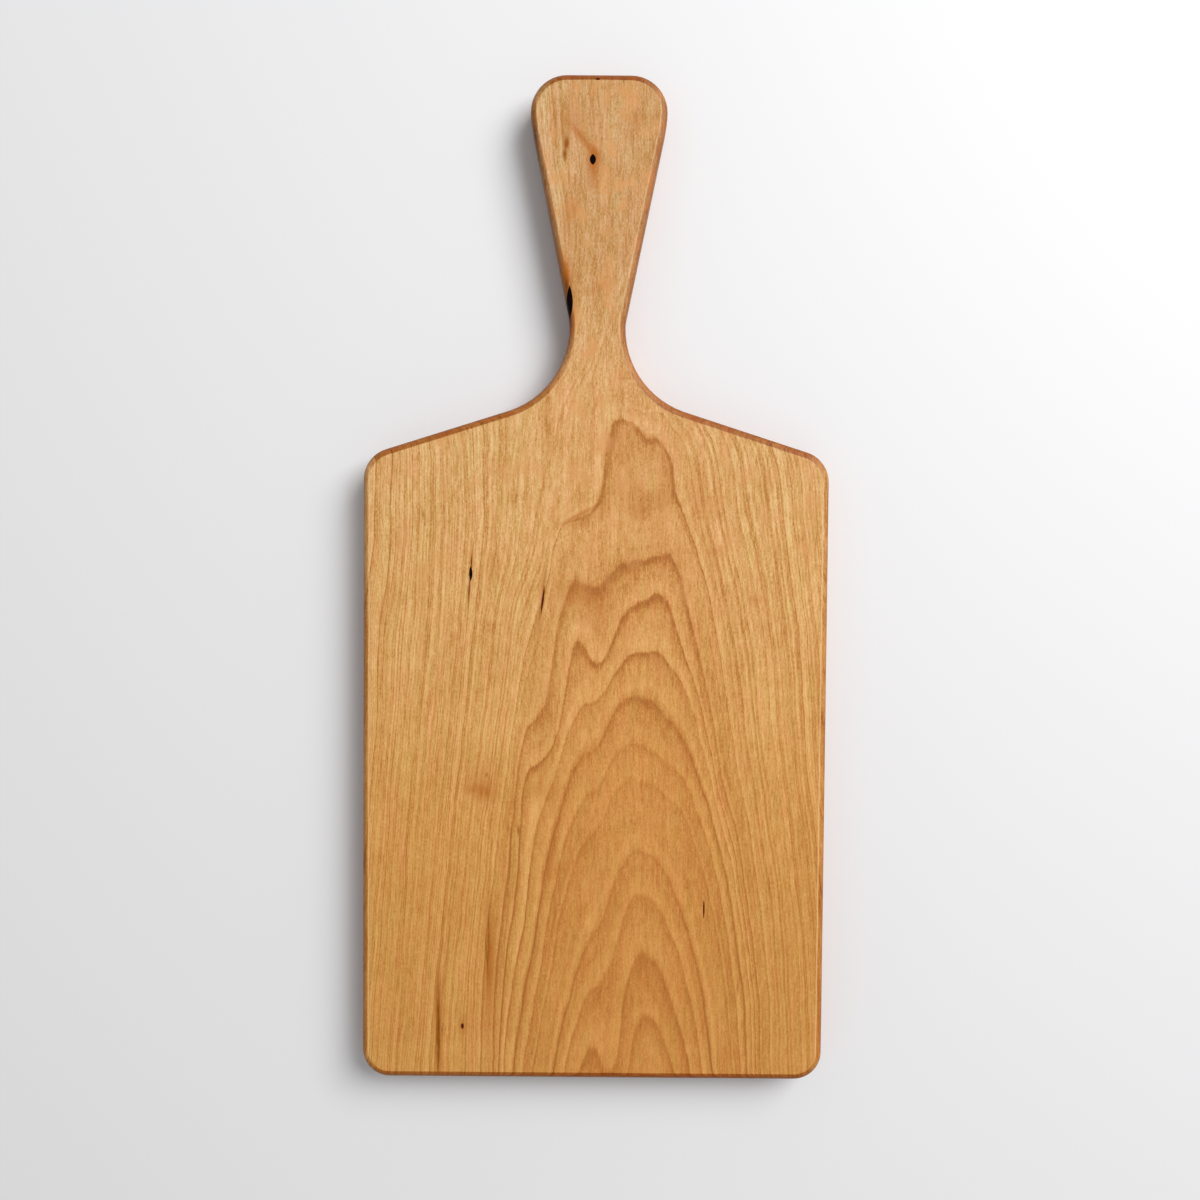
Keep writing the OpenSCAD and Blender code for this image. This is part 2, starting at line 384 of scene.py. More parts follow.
# Bumps of the growth rings: height, place across and along, spread across and along
RING_BUMPS = (
    (-3.5, -19.0, -20.0, 27.0, 32.0),  # left of the middle arches
    (2.0, 11.0, -26.0, 31.0, 28.0),  # under the middle arches
    (-2.75, -17.0, 17.0, 10.0, 20.0),  # notch at the left of the upper arches
    (2.25, 19.0, 39.0, 13.0, 58.0),  # ridge along the heart line
    (-5.5, -46.0, -127.0, 14.0, 70.0),  # left side, low
    (3.0, 10.0, -240.0, 9.0, 68.0),  # middle of the foot
    (-4.5, -33.0, -68.0, 11.0, 60.0),  # left side, half way up
    (2.5, 25.0, -71.0, 20.0, 39.0),  # right of the lower arches
    (2.0, 2.0, -62.0, 11.0, 110.0),  # long ridge under all the arches
    (-5.0, -45.0, 60.0, 44.0, 30.0),  # left shoulder
    (1.75, 63.0, 43.0, 19.0, 40.0),  # right shoulder
    (11.75, -23.0, 126.0, 43.0, 74.0),  # left of the neck
    (-2.25, -96.0, -24.0, 15.0, 28.0),  # left edge
    (-3.0, 80.0, -166.0, 33.0, 74.0),  # right side, low
    (-4.0, -54.0, -206.0, 18.0, 57.0),  # left half of the foot
    (-6.75, 12.0, 110.0, 22.0, 41.0),  # foot of the neck
    (2.75, 18.5, 84.0, 9.5, 7.0),  # tip of the inverted V under the neck
    (2.75, 24.0, 40.0, 16.0, 16.0),  # right side of the inverted V
    (-2.5, 21.0, 44.0, 14.0, 14.0),  # hollow within it
    (-0.5, 0.5, 62.0, 6.0, 12.0),  # its left side
)
# Depths at which the rings lie that make the arches, from the lowest arch upwards
ARCH_DEPTHS = (-10.1, -8.45, -6.9, -5.4, -3.3, -1.8, -0.3, 1.05, 1.9, 2.8, 5.85)
RING_WIDTH = 1.6
# A ring wider than this has its late wood near its line, above its early share
WIDE_RING = 2.5
LATE_DEPTH = 0.28
EARLY_SHARE = 0.45
DEPTH_SPAN = (-45.0, 95.0)
# Unevenness of the rings outside the arches: how often it changes in a millimetre, its
# size in rings, and the depth over which it sets in
UNEVEN_RATE = 0.31
UNEVENNESS = 2.2
UNEVEN_START = 4.0
# Shares of a ring: the line's sharp side and soft side, the shade beside it, and the
# early wood's middle and reach
SHARP_SIDE = 0.05
SOFT_SIDE = 0.13
SHADE_REACH = 0.35
EARLY_MIDDLE = 0.25
EARLY_REACH = 0.2
# Picks the run of chances from ring to ring
CHANCE_START = 0.37
# Waves in a millimetre across, along and down, detail, roughness, and the shift in
# millimetres that they give to the rings
JAGS = ((1.1, 0.03, 1.1), 2.0, 0.7, 3.2)
WAVES = ((0.16, 0.03, 0.16), 1.0, 0.5, 6.0)
SWAY = ((0.05, 0.02, 0.05), 2.0, 0.6, 4.0)
# Waves of the fibres in a millimetre across, along and down, and their detail
FIBRES = {
    "Speck": ((2.1, 0.75, 2.1), 1.0),
    "Thread": ((1.15, 0.17, 1.15), 1.0),
    "Bundle": ((0.5, 0.035, 0.5), 2.0),
    "Figure": ((0.085, 0.045, 0.085), 3.0),
}
FIBRE_ROUGHNESS = 0.6


def ring_field_group():
    """Depth of a point in the stack of growth rings, in millimetres."""
    group, weave, given, wanted = new_group(
        "Growth rings",
        [
            (VECTOR, "Position", None),
            (FLOAT, "Taper", TAPER),
            (FLOAT, "Heart depth", HEART_DEPTH),
        ],
        [(FLOAT, "Depth"), (FLOAT, "Across")],
    )
    x, y, z = weave.split(given["Position"])
    swings = [
        weave.mul(weave.bell(y, centre, spread), shift)
        for shift, centre, spread in HEART_SWINGS
    ]
    across = weave.sub(x, weave.total([*swings, HEART_LINE]))
    down = weave.add(weave.sub(z, THICKNESS_MM), given["Heart depth"])
    depth = weave.sub(weave.root_of_squares(across, down), given["Heart depth"])
    depth = weave.plus(depth, y, given["Taper"])
    for height, middle_x, middle_y, wide, long in RING_BUMPS:
        bump = weave.patch(given["Position"], (middle_x, middle_y), (wide, long))
        depth = weave.plus(depth, bump, height)
    weave.feed(wanted["Depth"], depth)
    weave.feed(wanted["Across"], weave.math("ABSOLUTE", across))
    return group


def ring_counts():
    """Depths with the number of rings up to each, counted from the lowest arch."""
    low, high = DEPTH_SPAN
    first, last = ARCH_DEPTHS[0], ARCH_DEPTHS[-1]
    counts = [(low, (low - first) / RING_WIDTH), (first, 0.0)]
    for i, (below, above) in enumerate(zip(ARCH_DEPTHS, ARCH_DEPTHS[1:])):
        if above - below > WIDE_RING:
            counts.append((above - LATE_DEPTH, i + EARLY_SHARE))
        counts.append((above, i + 1.0))
    counts.append((high, len(ARCH_DEPTHS) - 1 + (high - last) / RING_WIDTH))
    return counts


def ring_count_group():
    """Counts the rings up to a depth: the arches' own, and narrow ones outside them."""
    group, weave, given, wanted = new_group(
        "Ring count",
        [(FLOAT, "Depth", None), (FLOAT, "Unevenness", UNEVENNESS)],
        [(FLOAT, "Ring")],
    )
    counts = ring_counts()
    (low, bottom), (high, top) = counts[0], counts[-1]
    points = [
        ((depth - low) / (high - low), (count - bottom) / (top - bottom))
        for depth, count in counts
    ]
    share = weave.div(weave.sub(given["Depth"], low), high - low)
    count = weave.between(weave.curve(share, points), bottom, top)
    uneven = weave.noise_along(weave.mul(given["Depth"], UNEVEN_RATE), detail=2.0)
    uneven = weave.mul(weave.even(uneven), given["Unevenness"])
    last = ARCH_DEPTHS[-1]
    uneven = weave.mul(uneven, weave.ramp(given["Depth"], last, last + UNEVEN_START))
    weave.feed(wanted["Ring"], weave.add(count, uneven))
    return group


def ring_line_group():
    """Late wood: dark on the ring, soft below it, with light early wood above it."""
    group, weave, given, wanted = new_group(
        "Ring lines",
        [
            (FLOAT, "Ring", None),
            (FLOAT, "Sharp side", SHARP_SIDE),
            (FLOAT, "Soft side", SOFT_SIDE),
        ],
        [(FLOAT, "Line"), (FLOAT, "Shade"), (FLOAT, "Early"), (FLOAT, "Chance")],
    )
    turn = weave.math("FRACT", given["Ring"])
    back = weave.sub(1.0, turn)
    chance = weave.node("ShaderNodeTexWhiteNoise", noise_dimensions="1D")
    nearest = weave.math("ROUND", given["Ring"])
    weave.feed(chance.inputs["W"], weave.add(nearest, CHANCE_START))
    sharp = weave.bell(turn, 0.0, given["Sharp side"])
    soft = weave.bell(back, 0.0, given["Soft side"])
    weave.feed(wanted["Line"], weave.most(sharp, soft))
    weave.feed(wanted["Shade"], weave.most(sharp, weave.bell(back, 0.0, SHADE_REACH)))
    weave.feed(wanted["Early"], weave.bell(turn, EARLY_MIDDLE, EARLY_REACH))
    weave.feed(wanted["Chance"], chance.outputs["Value"])
    return group


def fibre_group():
    """Specks, threads and bundles of fibre along the grain, and the silky figure."""
    group, weave, given, wanted = new_group(
        "Wood fibres",
        [(VECTOR, "Position", None)],
        [(FLOAT, output) for output in FIBRES],
    )
    for output, (waves, detail) in FIBRES.items():
        noise = weave.noise(given["Position"], waves, detail, FIBRE_ROUGHNESS)
        weave.feed(wanted[output], weave.even(noise))
    return group


def wood_frame(weave, position):
    """Place in the wood, with the fibres' small jags along the grain and slow sways."""

    def shifted(value, shift):
        waves, detail, roughness, size = shift
        noise = weave.noise(position, waves, detail, roughness)
        return weave.plus(value, weave.even(noise), size)

    x, y, z = weave.split(position)
    return weave.join(shifted(x, SWAY), shifted(shifted(y, JAGS), WAVES), z)


# Marks

# How far a mark reaches into the wood, in millimetres, and how much the threads crumble it
MARK_DEPTH = 6.0
CRUMBLE = 2.0
# Marks of the serving face by what tints them, from the undermost tint upwards:
# strength, place across and along, half width and half length in millimetres, and
# lean to the right per millimetre up
MARKS = {
    "silk_and_highlight_wood": ((0.60, -58.2, -0.6, 0.7, 2.0, 0.0),),
    "rust_wood": (
        (1.0, -2.7, 189.8, 2.8, 5.6, 0.0),
        (0.75, -5.8, 197.8, 1.7, 9.0, -0.85),
        (0.45, -2.5, 181.5, 1.5, 5.0, 0.1),
        (0.30, -13.5, 166.0, 3.6, 10.0, 0.4),
        (0.22, -10.0, 150.0, 4.0, 9.0, -0.3),
        (0.3, -12.0, 207.0, 9.0, 7.0, 0.0),
        (0.22, 17.0, 208.0, 5.0, 4.0, -0.6),
        (0.20, 0.0, 133.0, 9.0, 2.4, -0.35),
        (1.2, -14.3, 138.5, 1.9, 7.0, -0.12),
        (0.6, -11.4, 121.0, 1.4, 12.0, 0.0),
        (1.0, -56.4, 9.4, 0.55, 5.0, 0.04),
        (1.0, -57.4, -4.0, 0.55, 7.0, 0.06),
        (0.35, -24.5, -10.0, 1.4, 24.0, 0.12),
        (0.35, -70.4, -200.0, 1.6, 22.0, 0.0),
        (0.75, -47.2, -172.0, 2.2, 26.0, 0.0),
        (0.5, -49.8, -96.0, 3.6, 4.2, 0.0),
        (0.3, -51.5, -92.0, 8.0, 10.0, 0.0),
        (0.3, -22.0, -95.0, 9.0, 5.0, 0.0),
        (0.25, -17.7, -132.0, 6.0, 4.0, 0.0),
        (0.35, -56.0, -94.5, 3.4, 2.2, -0.3),
        (0.60, -59.6, -204.2, 1.7, 4.6, 0.0),
        (0.50, 21.8, 33.5, 0.8, 0.8, 0.0),
        (0.50, 22.0, 29.5, 0.7, 0.7, 0.0),
        (0.40, 72.4, -7.0, 3.2, 2.2, 0.0),
        (0.30, 53.6, 14.6, 3.0, 2.2, 0.0),
        (0.30, -8.0, -5.0, 13.0, 6.0, 0.4),
        (0.16, 18.0, 40.0, 14.0, 22.0, 0.0),
        (0.65, -8.5, 30.5, 0.9, 10.0, 1.9),
    ),
    "gum_wood": (
        (1.4, -14.6, 197.6, 1.0, 2.8, 0.0),
        (1.3, -15.3, 192.2, 1.0, 2.0, 0.0),
        (0.7, -23.9, -6.0, 0.6, 12.0, 0.12),
        (1.1, -70.7, -214.0, 0.9, 14.0, 0.0),
        (0.7, -70.9, -194.0, 1.2, 14.0, 0.0),
        (0.7, -68.9, -206.0, 0.35, 2.0, 0.0),
        (0.7, -47.9, -166.0, 0.6, 17.0, 0.02),
        (0.6, -78.4, 30.3, 0.6, 2.4, -0.1),
        (0.7, -49.0, -88.0, 0.7, 0.9, 0.0),
        (0.7, -34.3, -113.5, 0.7, 2.6, 0.0),
        (0.5, -38.9, -112.4, 0.6, 1.8, 0.0),
        (0.8, 66.7, -184.9, 0.4, 2.6, 0.0),
        (0.35, 0.8, 35.5, 0.8, 6.0, 0.75),
        (0.45, 5.2, 52.0, 0.6, 10.0, 0.18),
    ),
    "thread_wood": (
        (0.6, -28.7, 201.5, 0.9, 6.5, -0.1),
        (0.45, -27.4, 191.5, 0.8, 6.5, -0.12),
        (0.5, -13.9, 134.0, 1.2, 4.5, -0.1),
        (0.9, -12.4, 118.0, 0.6, 4.5, 0.0),
        (0.9, -56.4, 8.8, 0.27, 4.2, 0.04),
        (0.9, -57.4, -3.2, 0.27, 5.4, 0.06),
        (0.45, -70.5, -210.0, 0.27, 16.0, 0.0),
        (0.25, -48.0, -166.0, 0.27, 14.0, 0.02),
        (0.5, -48.9, -168.0, 0.27, 5.0, -0.05),
    ),
}
# Dark single lines left of the arches: place across at the middle of their stretch, in
# millimetres, and strength. They were picked from a list of the board's dark columns.
UPPER_LINES = (
    (-95.0, 0.40),
    (-88.5, 0.30),
    (-76.0, 0.40),
    (-70.5, 0.35),
    (-64.0, 0.35),
    (-55.0, 0.30),
    (-45.0, 0.25),
    (-37.5, 0.25),
)
LOWER_LINES = (
    (-86.5, 0.40),
    (-75.0, 0.30),
    (-68.5, 0.35),
    (-65.5, 0.30),
    (-48.5, 0.30),
    (-39.5, 0.35),
)
# Middles of the two stretches along the plank, in millimetres
UPPER_MIDDLE = -3.5
LOWER_MIDDLE = -153.7
# The lines' room across, their half width, and their lean to the right per millimetre up
LINE_ROOM = (-100.0, -30.0)
LINE_HALF = 0.65
LINE_LEAN = 0.045


def mark_group():
    """Soft oval mark in the serving face, which fades below it."""
    group, weave, given, wanted = new_group(
        "Wood mark",
        [
            (VECTOR, "Position", None),
            (VECTOR, "Centre", (0.0, 0.0, 0.0)),
            (VECTOR, "Half size", (1.0, 5.0, MARK_DEPTH)),
            (VECTOR, "Turn", (0.0, 0.0, 0.0)),
            (FLOAT, "Strength", 1.0),
        ],
        [(FLOAT, "Mask")],
    )
    local = weave.node("ShaderNodeMapping", vector_type="TEXTURE")
    for socket, name in (
        ("Vector", "Position"),
        ("Location", "Centre"),
        ("Rotation", "Turn"),
        ("Scale", "Half size"),
    ):
        weave.feed(local.inputs[socket], given[name])
    mask = weave.fall_off(local.outputs[0])
    weave.feed(wanted["Mask"], weave.mul(mask, given["Strength"]))
    return group


def marks_share(weave, mark, position, rows, crumble):
    """Total of the marks of one tint, crumbled by the fibres."""
    masks = [
        weave.place(
            mark,
            position=position,
            centre=(across, along, THICKNESS_MM),
            half_size=(half_width, half_length, MARK_DEPTH),
            turn=(0.0, 0.0, -math.atan(lean)),
            strength=strength,
        )["Mask"]
        for strength, across, along, half_width, half_length, lean in rows
    ]
    return weave.math("MULTIPLY", weave.total(masks), crumble, clamp=True)


def single_lines(weave, right, along, middle, lines):
    """Lines that lean to the right going up, from a curve with a peak at each."""
    low, high = LINE_ROOM
    peaks = [(low, 0.0)]
    for centre, strength in lines:
        peaks += [(centre - LINE_HALF, 0.0), (centre, strength), (centre + LINE_HALF, 0.0)]
    peaks.append((high, 0.0))
    points = [((place - low) / (high - low), strength) for place, strength in peaks]
    upright = weave.plus(right, weave.sub(along, middle), -LINE_LEAN)
    return weave.curve(weave.div(weave.sub(upright, low), high - low), points)


# Cherry

WHITE = (1.0, 1.0, 1.0)
# Each pair says where a look starts and where it's full. First along the plank, in
# millimetres from its middle towards the handle.
LIVELY_RUN = (-220.0, 80.0)
QUIET_HANDLE = (90.0, 150.0)
FLANK_LINES_RUN = (120.0, 80.0)
RINGS_RUN = (108.0, 72.0)
CRISP_RUN = (-115.0, -15.0)
LOW_RUN = (20.0, -100.0)
UPPER_START, UPPER_END = (-80.0, -45.0), (72.0, 40.0)
LOWER_START = (-62.0, -90.0)
# Painted shade and light over this run: darker at the foot, lighter in the blade
PAINTED_GRADIENT_RUN = (-200.0, 20.0)
# Painted shade in the handle over this run
HANDLE_SHADE_RUN = (85.0, 150.0)
AMBER_RUN = (125.0, -110.0)
PALE_RUN = (75.0, 165.0)
CLOUD_RUN = (-160.0, 120.0)
# Painted shade on the side edges grows over this run
SIDE_SHADE_RUN = (60.0, 110.0)
# Next away from the heart line, in millimetres
CALM_REACH = (8.0, 45.0)
FLANK_LINES_REACH = (14.0, 40.0)
CRISP_REACH = (12.0, 55.0)
HEART_REACH = (55.0, 5.0)
FLANK_TINT_REACH = (18.0, 60.0)
# Then to the right of the centre line, in millimetres
FAINT_RIGHT = (35.0, 70.0)
# Painted shade towards the right over this reach
RIGHT_SHADE_REACH = (15.0, 75.0)
# Then by the depth in the rings, in millimetres: the upper arches, and the wood above
ARCHES_START, ARCHES_END = (-5.0, 0.5), (8.2, 5.9)
ABOVE_ARCHES = (5.0, 9.0)
# Last by the slope of the rounded edge, from 0 on the face to 1 on the side
END_SLOPE = (0.02, 0.13)
SIDE_SLOPE = (0.14, 0.36)
# Painted shade of the rim sets in over this slope
RIM_SHADE_SLOPE = (0.6, 0.95)
# Least slope to divide by
LEAST_SLOPE = 0.001
# From faces towards the foot to those towards the handle's end, which get more painted shade
HANDLE_FACING = (-0.1, 0.1)
# Middle and spread of the painted highlight at the start of the rounded edge, on the same slope
HIGHLIGHT_SLOPE = (0.09, 0.06)
# Patches of the serving face: middle and spread, across and along, in millimetres
SLANTED_PATCH = ((-20.0, 50.0), (25.0, 36.0))
BRIGHT_PATCH = ((14.0, 52.0), (26.0, 34.0))
DUSKY_FOOT = ((-25.0, -165.0), (28.0, 70.0))
DUSKY_SHOULDER = ((52.0, 30.0), (16.0, 34.0))
# Steps of lightness at the foot and in the rest of the blade, and what other places add
# Painted shade and light: the foot darker and the blade lighter as the light falls off, the
# handle and the right darker to even out the key lamp's stronger light there
FOOT_SHADE_STEPS, BLADE_LIGHT_STEPS = -6.0, 5.0
HANDLE_SHADE_STEPS, RIGHT_SHADE_STEPS, HEART_STEPS = -15.0, -5.0, -5.0
BRIGHT_STEPS, DUSKY_STEPS = 2.0, -4.0
# Noise of the hues and clouds: waves in a millimetre each way, detail, roughness; then
# the levels of it over which they set in
HUES, HUE_LEVELS = ((0.3, 0.045, 0.3), 3.0, 0.65), (0.2, 0.8)
CLOUDS, CLOUD_LEVELS = ((0.11, 0.07, 0.11), 3.0, 0.65), (0.48, 0.66)
# How strong the clouds, the painted highlight at the start of the edges and the painted shade
# of their rims are at the most
CLOUD_SHARE, HIGHLIGHT_SHARE, RIM_SHADE_SHARE = 0.6, 0.7, 0.45
# Changes of tone from ring to ring, and of the layers and flank lines in a millimetre
TONE_RATE = 0.6
LAYER_RATE = 1.5
FLANK_LINES_RATE = 0.55
# Picks the run of the flank lines
FLANK_LINES_START = 40.0
# Levels of their noise that make light lines and dark ones, and the light ones' share
LIGHT_LEVELS, DARK_LEVELS = (0.46, 0.34), (0.57, 0.67)
LIGHT_SHARE = 0.45
# Strength of the ring lines: at least, in the upper arches, and how seldom it's high
LEAST_POWER = 0.12
ARCH_POWER = 0.95
SELDOM = 3.0
# How much the fibre bundles break up the lines
PATCHINESS = 2.4
# Steps of lightness below the scale's zero, and in all of it
STEPS_BELOW, STEPS_IN_ALL = 45.0, 75.0
SCALE_PLACES = (0.0, 0.28, 0.56, 0.80, 1.0)
# The fibres' bump: strength, and height in metres
BUMP_STRENGTH = 0.25
BUMP_HEIGHT = 0.00005


class Cherry:
    """Oiled flat-sawn cherry: what its looks share, and a method for each of them."""

    def __init__(self, weave, settings):
        self.weave = weave
        self.settings = settings
        object_place = weave.node("ShaderNodeTexCoord").outputs["Object"]
        self.position = weave.stretch(object_place, (1 / MM, 1 / MM, 1 / MM))
        self.right, self.along, _ = weave.split(self.position)
        framed = wood_frame(weave, self.position)
        self.swayed, _, _ = weave.split(framed)
        field = weave.place(ring_field_group(), position=framed)
        self.depth, self.across = field["Depth"], field["Across"]
        self.ring = weave.place(ring_count_group(), depth=self.depth)["Ring"]
        self.lines = weave.place(ring_line_group(), ring=self.ring)
        self.grain = weave.place(fibre_group(), position=self.position)
        self.patchy = weave.plus(1.0, self.grain["Bundle"], PATCHINESS)
        self.slanted = weave.patch(self.position, *SLANTED_PATCH)
        self.heart = weave.ramp(self.across, *HEART_REACH)
        self.low = weave.ramp(self.along, *LOW_RUN)

    def lightness(self):
        """Lightness, in steps of the colour scale."""
        light = self.fibres()
        light = self.tones_and_layers(light)
        light = self.flank_lines(light)
        light = self.slanted_streaks(light)
        light = self.weave.mul(light, self.liveliness())
        light = self.weave.sub(light, self.ring_lines())
        light = self.left_lines(light)
        return self.weave.add(light, self.painted_shade_and_drift())

    def fibres(self):
        """Specks, threads, bundles and the silky figure."""
        weave, grain, settings = self.weave, self.grain, self.settings
        light = weave.mul(grain["Speck"], settings.speck_contrast)
        light = weave.plus(light, grain["Thread"], settings.thread_contrast)
        light = weave.plus(light, grain["Bundle"], settings.bundle_contrast)
        return weave.plus(light, grain["Figure"], settings.figure_contrast)

    def tones_and_layers(self, light):
        """Tone of each ring and its layers, calm on the heart line and the slanted patch."""
        weave, settings = self.weave, self.settings
        tone = weave.even(weave.noise_along(weave.mul(self.ring, TONE_RATE), detail=1.0))
        light = weave.plus(light, tone, settings.tone_contrast)
        layers = weave.even(weave.noise_along(weave.mul(self.depth, LAYER_RATE), detail=3.0))
        layers = weave.mul(layers, settings.layer_contrast)
        calm = weave.between(weave.ramp(self.across, *CALM_REACH), low=0.4, high=1.0)
        calm = weave.weaken(calm, self.slanted, loss=0.85)
        return weave.plus(light, layers, calm)

    def flank_lines(self, light):
        """Light and dark lines on the flanks of the blade."""
        weave = self.weave
        noise = weave.plus(FLANK_LINES_START, self.depth, FLANK_LINES_RATE)
        noise = weave.noise_along(noise, detail=2.0)
        lines = weave.mul(weave.ramp(noise, *LIGHT_LEVELS), LIGHT_SHARE)
        lines = weave.sub(lines, weave.ramp(noise, *DARK_LEVELS))
        shown = weave.ramp(self.across, *FLANK_LINES_REACH)
        shown = weave.mul(shown, self.settings.flank_contrast)
        shown = weave.weaken(shown, self.slanted, loss=0.8)
        shown = weave.mul(shown, weave.ramp(self.along, *FLANK_LINES_RUN))
        return weave.plus(light, lines, shown)

    def slanted_streaks(self, light):
        """Stronger bundles of fibre where the rings slant."""
        weave = self.weave
        streaks = weave.mul(self.slanted, self.grain["Bundle"])
        streaks = weave.mul(streaks, self.settings.bundle_contrast)
        return weave.plus(light, streaks, gain=0.9)

    def liveliness(self):
        """The fibres' contrast grows towards the shoulders, less so in the handle."""
        weave = self.weave
        lively = weave.between(weave.ramp(self.along, *LIVELY_RUN), low=0.75, high=1.3)
        return weave.plus(lively, weave.ramp(self.along, *QUIET_HANDLE), gain=-0.2)

    def ring_lines(self):
        """Darkness of the rings: a thin line on each and a broad shade beside it."""
        weave = self.weave
        rings = weave.add(self.thin_lines(), self.broad_shades())
        return weave.mul(rings, self.ring_power())

    def ring_power(self):
        """By chance, but strong where the upper arches run and none in the handle."""
        weave = self.weave
        power = weave.math("POWER", self.lines["Chance"], SELDOM)
        power = weave.add(power, LEAST_POWER)
        arches = weave.ramp(self.depth, *ARCHES_START)
        arches = weave.mul(arches, weave.ramp(self.depth, *ARCHES_END))
        power = weave.most(power, weave.mul(arches, ARCH_POWER))
        power = weave.mul(power, weave.ramp(self.along, *RINGS_RUN))
        faint = weave.mul(self.slanted, weave.ramp(self.depth, *ABOVE_ARCHES))
        power = weave.weaken(power, faint, loss=0.75)
        return weave.weaken(power, self.low, loss=0.15)

    def thin_lines(self):
        """Thin lines, soft where they lie low on the heart line."""
        weave = self.weave
        crisp = weave.between(weave.ramp(self.across, *CRISP_REACH), low=0.2, high=1.15)
        crisp = weave.most(crisp, weave.ramp(self.along, *CRISP_RUN))
        thin = weave.mul(self.lines["Line"], self.patchy)
        thin = weave.mul(thin, self.settings.ring_contrast)
        thin = weave.mul(thin, crisp)
        return weave.weaken(thin, weave.ramp(self.right, *FAINT_RIGHT), loss=0.25)

    def broad_shades(self):
        """Shades beside the lines, with light early wood between them."""
        weave = self.weave
        broad = weave.plus(self.lines["Shade"], self.lines["Early"], gain=-0.9)
        broad = weave.weaken(broad, self.low, loss=0.3)
        return weave.mul(broad, self.settings.shade_contrast)

    def left_lines(self, light):
        """Dark single lines left of the arches, in an upper and a lower stretch."""
        weave, right, along = self.weave, self.swayed, self.along
        upper = single_lines(weave, right, along, UPPER_MIDDLE, UPPER_LINES)
        shown = weave.mul(weave.ramp(along, *UPPER_START), weave.ramp(along, *UPPER_END))
        upper = weave.mul(upper, shown)
        lower = single_lines(weave, right, along, LOWER_MIDDLE, LOWER_LINES)
        lower = weave.mul(lower, weave.ramp(along, *LOWER_START))
        lines = weave.mul(weave.add(upper, lower), self.patchy)
        return weave.plus(light, lines, -self.settings.single_contrast)

    def painted_shade_and_drift(self):
        """Slow changes of lightness: painted shade darker at the foot, in the handle and at the
        right.
        """
        weave, position = self.weave, self.position
        painted_shade_and_drift = weave.ramp(self.along, *PAINTED_GRADIENT_RUN)
        painted_shade_and_drift = weave.between(painted_shade_and_drift, FOOT_SHADE_STEPS, BLADE_LIGHT_STEPS)
        painted_shade_and_drift = weave.plus(painted_shade_and_drift, weave.ramp(self.along, *HANDLE_SHADE_RUN), HANDLE_SHADE_STEPS)
        painted_shade_and_drift = weave.plus(painted_shade_and_drift, weave.ramp(self.right, *RIGHT_SHADE_REACH), RIGHT_SHADE_STEPS)
        painted_shade_and_drift = weave.plus(painted_shade_and_drift, weave.patch(position, *BRIGHT_PATCH), BRIGHT_STEPS)
        painted_shade_and_drift = weave.plus(painted_shade_and_drift, self.heart, HEART_STEPS)
        dusk = weave.patch(position, *DUSKY_FOOT)
        dusk = weave.add(dusk, weave.patch(position, *DUSKY_SHOULDER))
        return weave.plus(painted_shade_and_drift, dusk, DUSKY_STEPS)

    def on_scale(self, light):
        """Colour for a lightness, on the scale from deep wood to silk."""
        weave, settings = self.weave, self.settings
        scale = weave.node("ShaderNodeValToRGB")
        stops = scale.color_ramp.elements
        tints = (
            settings.deep_wood,
            settings.ring_wood,
            settings.mid_wood,
            settings.light_wood,
            settings.silk_and_highlight_wood,
        )
        while len(stops) < len(tints):
            stops.new(0.5)
        for stop, place, tint in zip(stops, SCALE_PLACES, tints):
            stop.position = place
            stop.color = (*tint, 1.0)
        share = weave.div(weave.add(light, STEPS_BELOW), STEPS_IN_ALL)
        weave.feed(scale.inputs[0], share)
        return scale.outputs[0]

    def tinted(self, base):
        """Amber towards the foot, pale towards the handle's end, golden and rosy fibres."""
        weave, settings = self.weave, self.settings
        amber = weave.ramp(self.along, *AMBER_RUN, smooth=False)
        amber = weave.mul(amber, weave.between(self.heart, low=0.9, high=1.15))
        tint = weave.mix(amber, WHITE, settings.amber)
        tint = weave.mix(weave.ramp(self.along, *PALE_RUN), tint, settings.pale)
        flanks = weave.ramp(self.across, *FLANK_TINT_REACH)
        flanks = weave.mix(flanks, settings.heart_tint, settings.flank_tint)
        base = weave.tint(base, weave.tint(tint, flanks))
        hue = weave.noise(self.position, *HUES)
        hue = weave.ramp(hue, *HUE_LEVELS, smooth=False)
        return weave.tint(base, weave.mix(hue, settings.golden, settings.rosy))

    def clouded(self, base):
        """Orange clouds, which thin out towards the foot."""
        weave = self.weave
        cloud = weave.ramp(weave.noise(self.position, *CLOUDS), *CLOUD_LEVELS)
        cloud = weave.mul(cloud, weave.ramp(self.along, *CLOUD_RUN))
        return weave.mix(weave.mul(cloud, CLOUD_SHARE), base, self.settings.blush_wood)

    def oiled_and_shaded_edges(self, base):
        """Oil darkens the end grain; painted shade darkens the rounded edges, more on those
        facing the handle's end and on the sides towards the handle, most at the outer rim; a
        painted highlight lightens the start of the side edges.
        """
        weave, settings = self.weave, self.settings
        facing = weave.node("ShaderNodeTexCoord").outputs["Normal"]
        sideways, lengthways, _ = weave.split(facing)
        slope = weave.root_of_squares(sideways, lengthways)
        end = weave.math("ABSOLUTE", lengthways)
        end = weave.div(end, weave.most(slope, LEAST_SLOPE))
        side = weave.sub(1.0, end)
        # Painted highlight along the start of the rounded side edges
        painted_highlight = weave.mul(weave.bell(slope, *HIGHLIGHT_SLOPE), side)
        painted_highlight = weave.mul(painted_highlight, HIGHLIGHT_SHARE)
        base = weave.mix(painted_highlight, base, settings.silk_and_highlight_wood)
        # Oil on the end grain, and painted shade on the rounded edges
        end = weave.mul(end, weave.ramp(slope, *END_SLOPE))
        side = weave.mul(side, weave.ramp(slope, *SIDE_SLOPE))
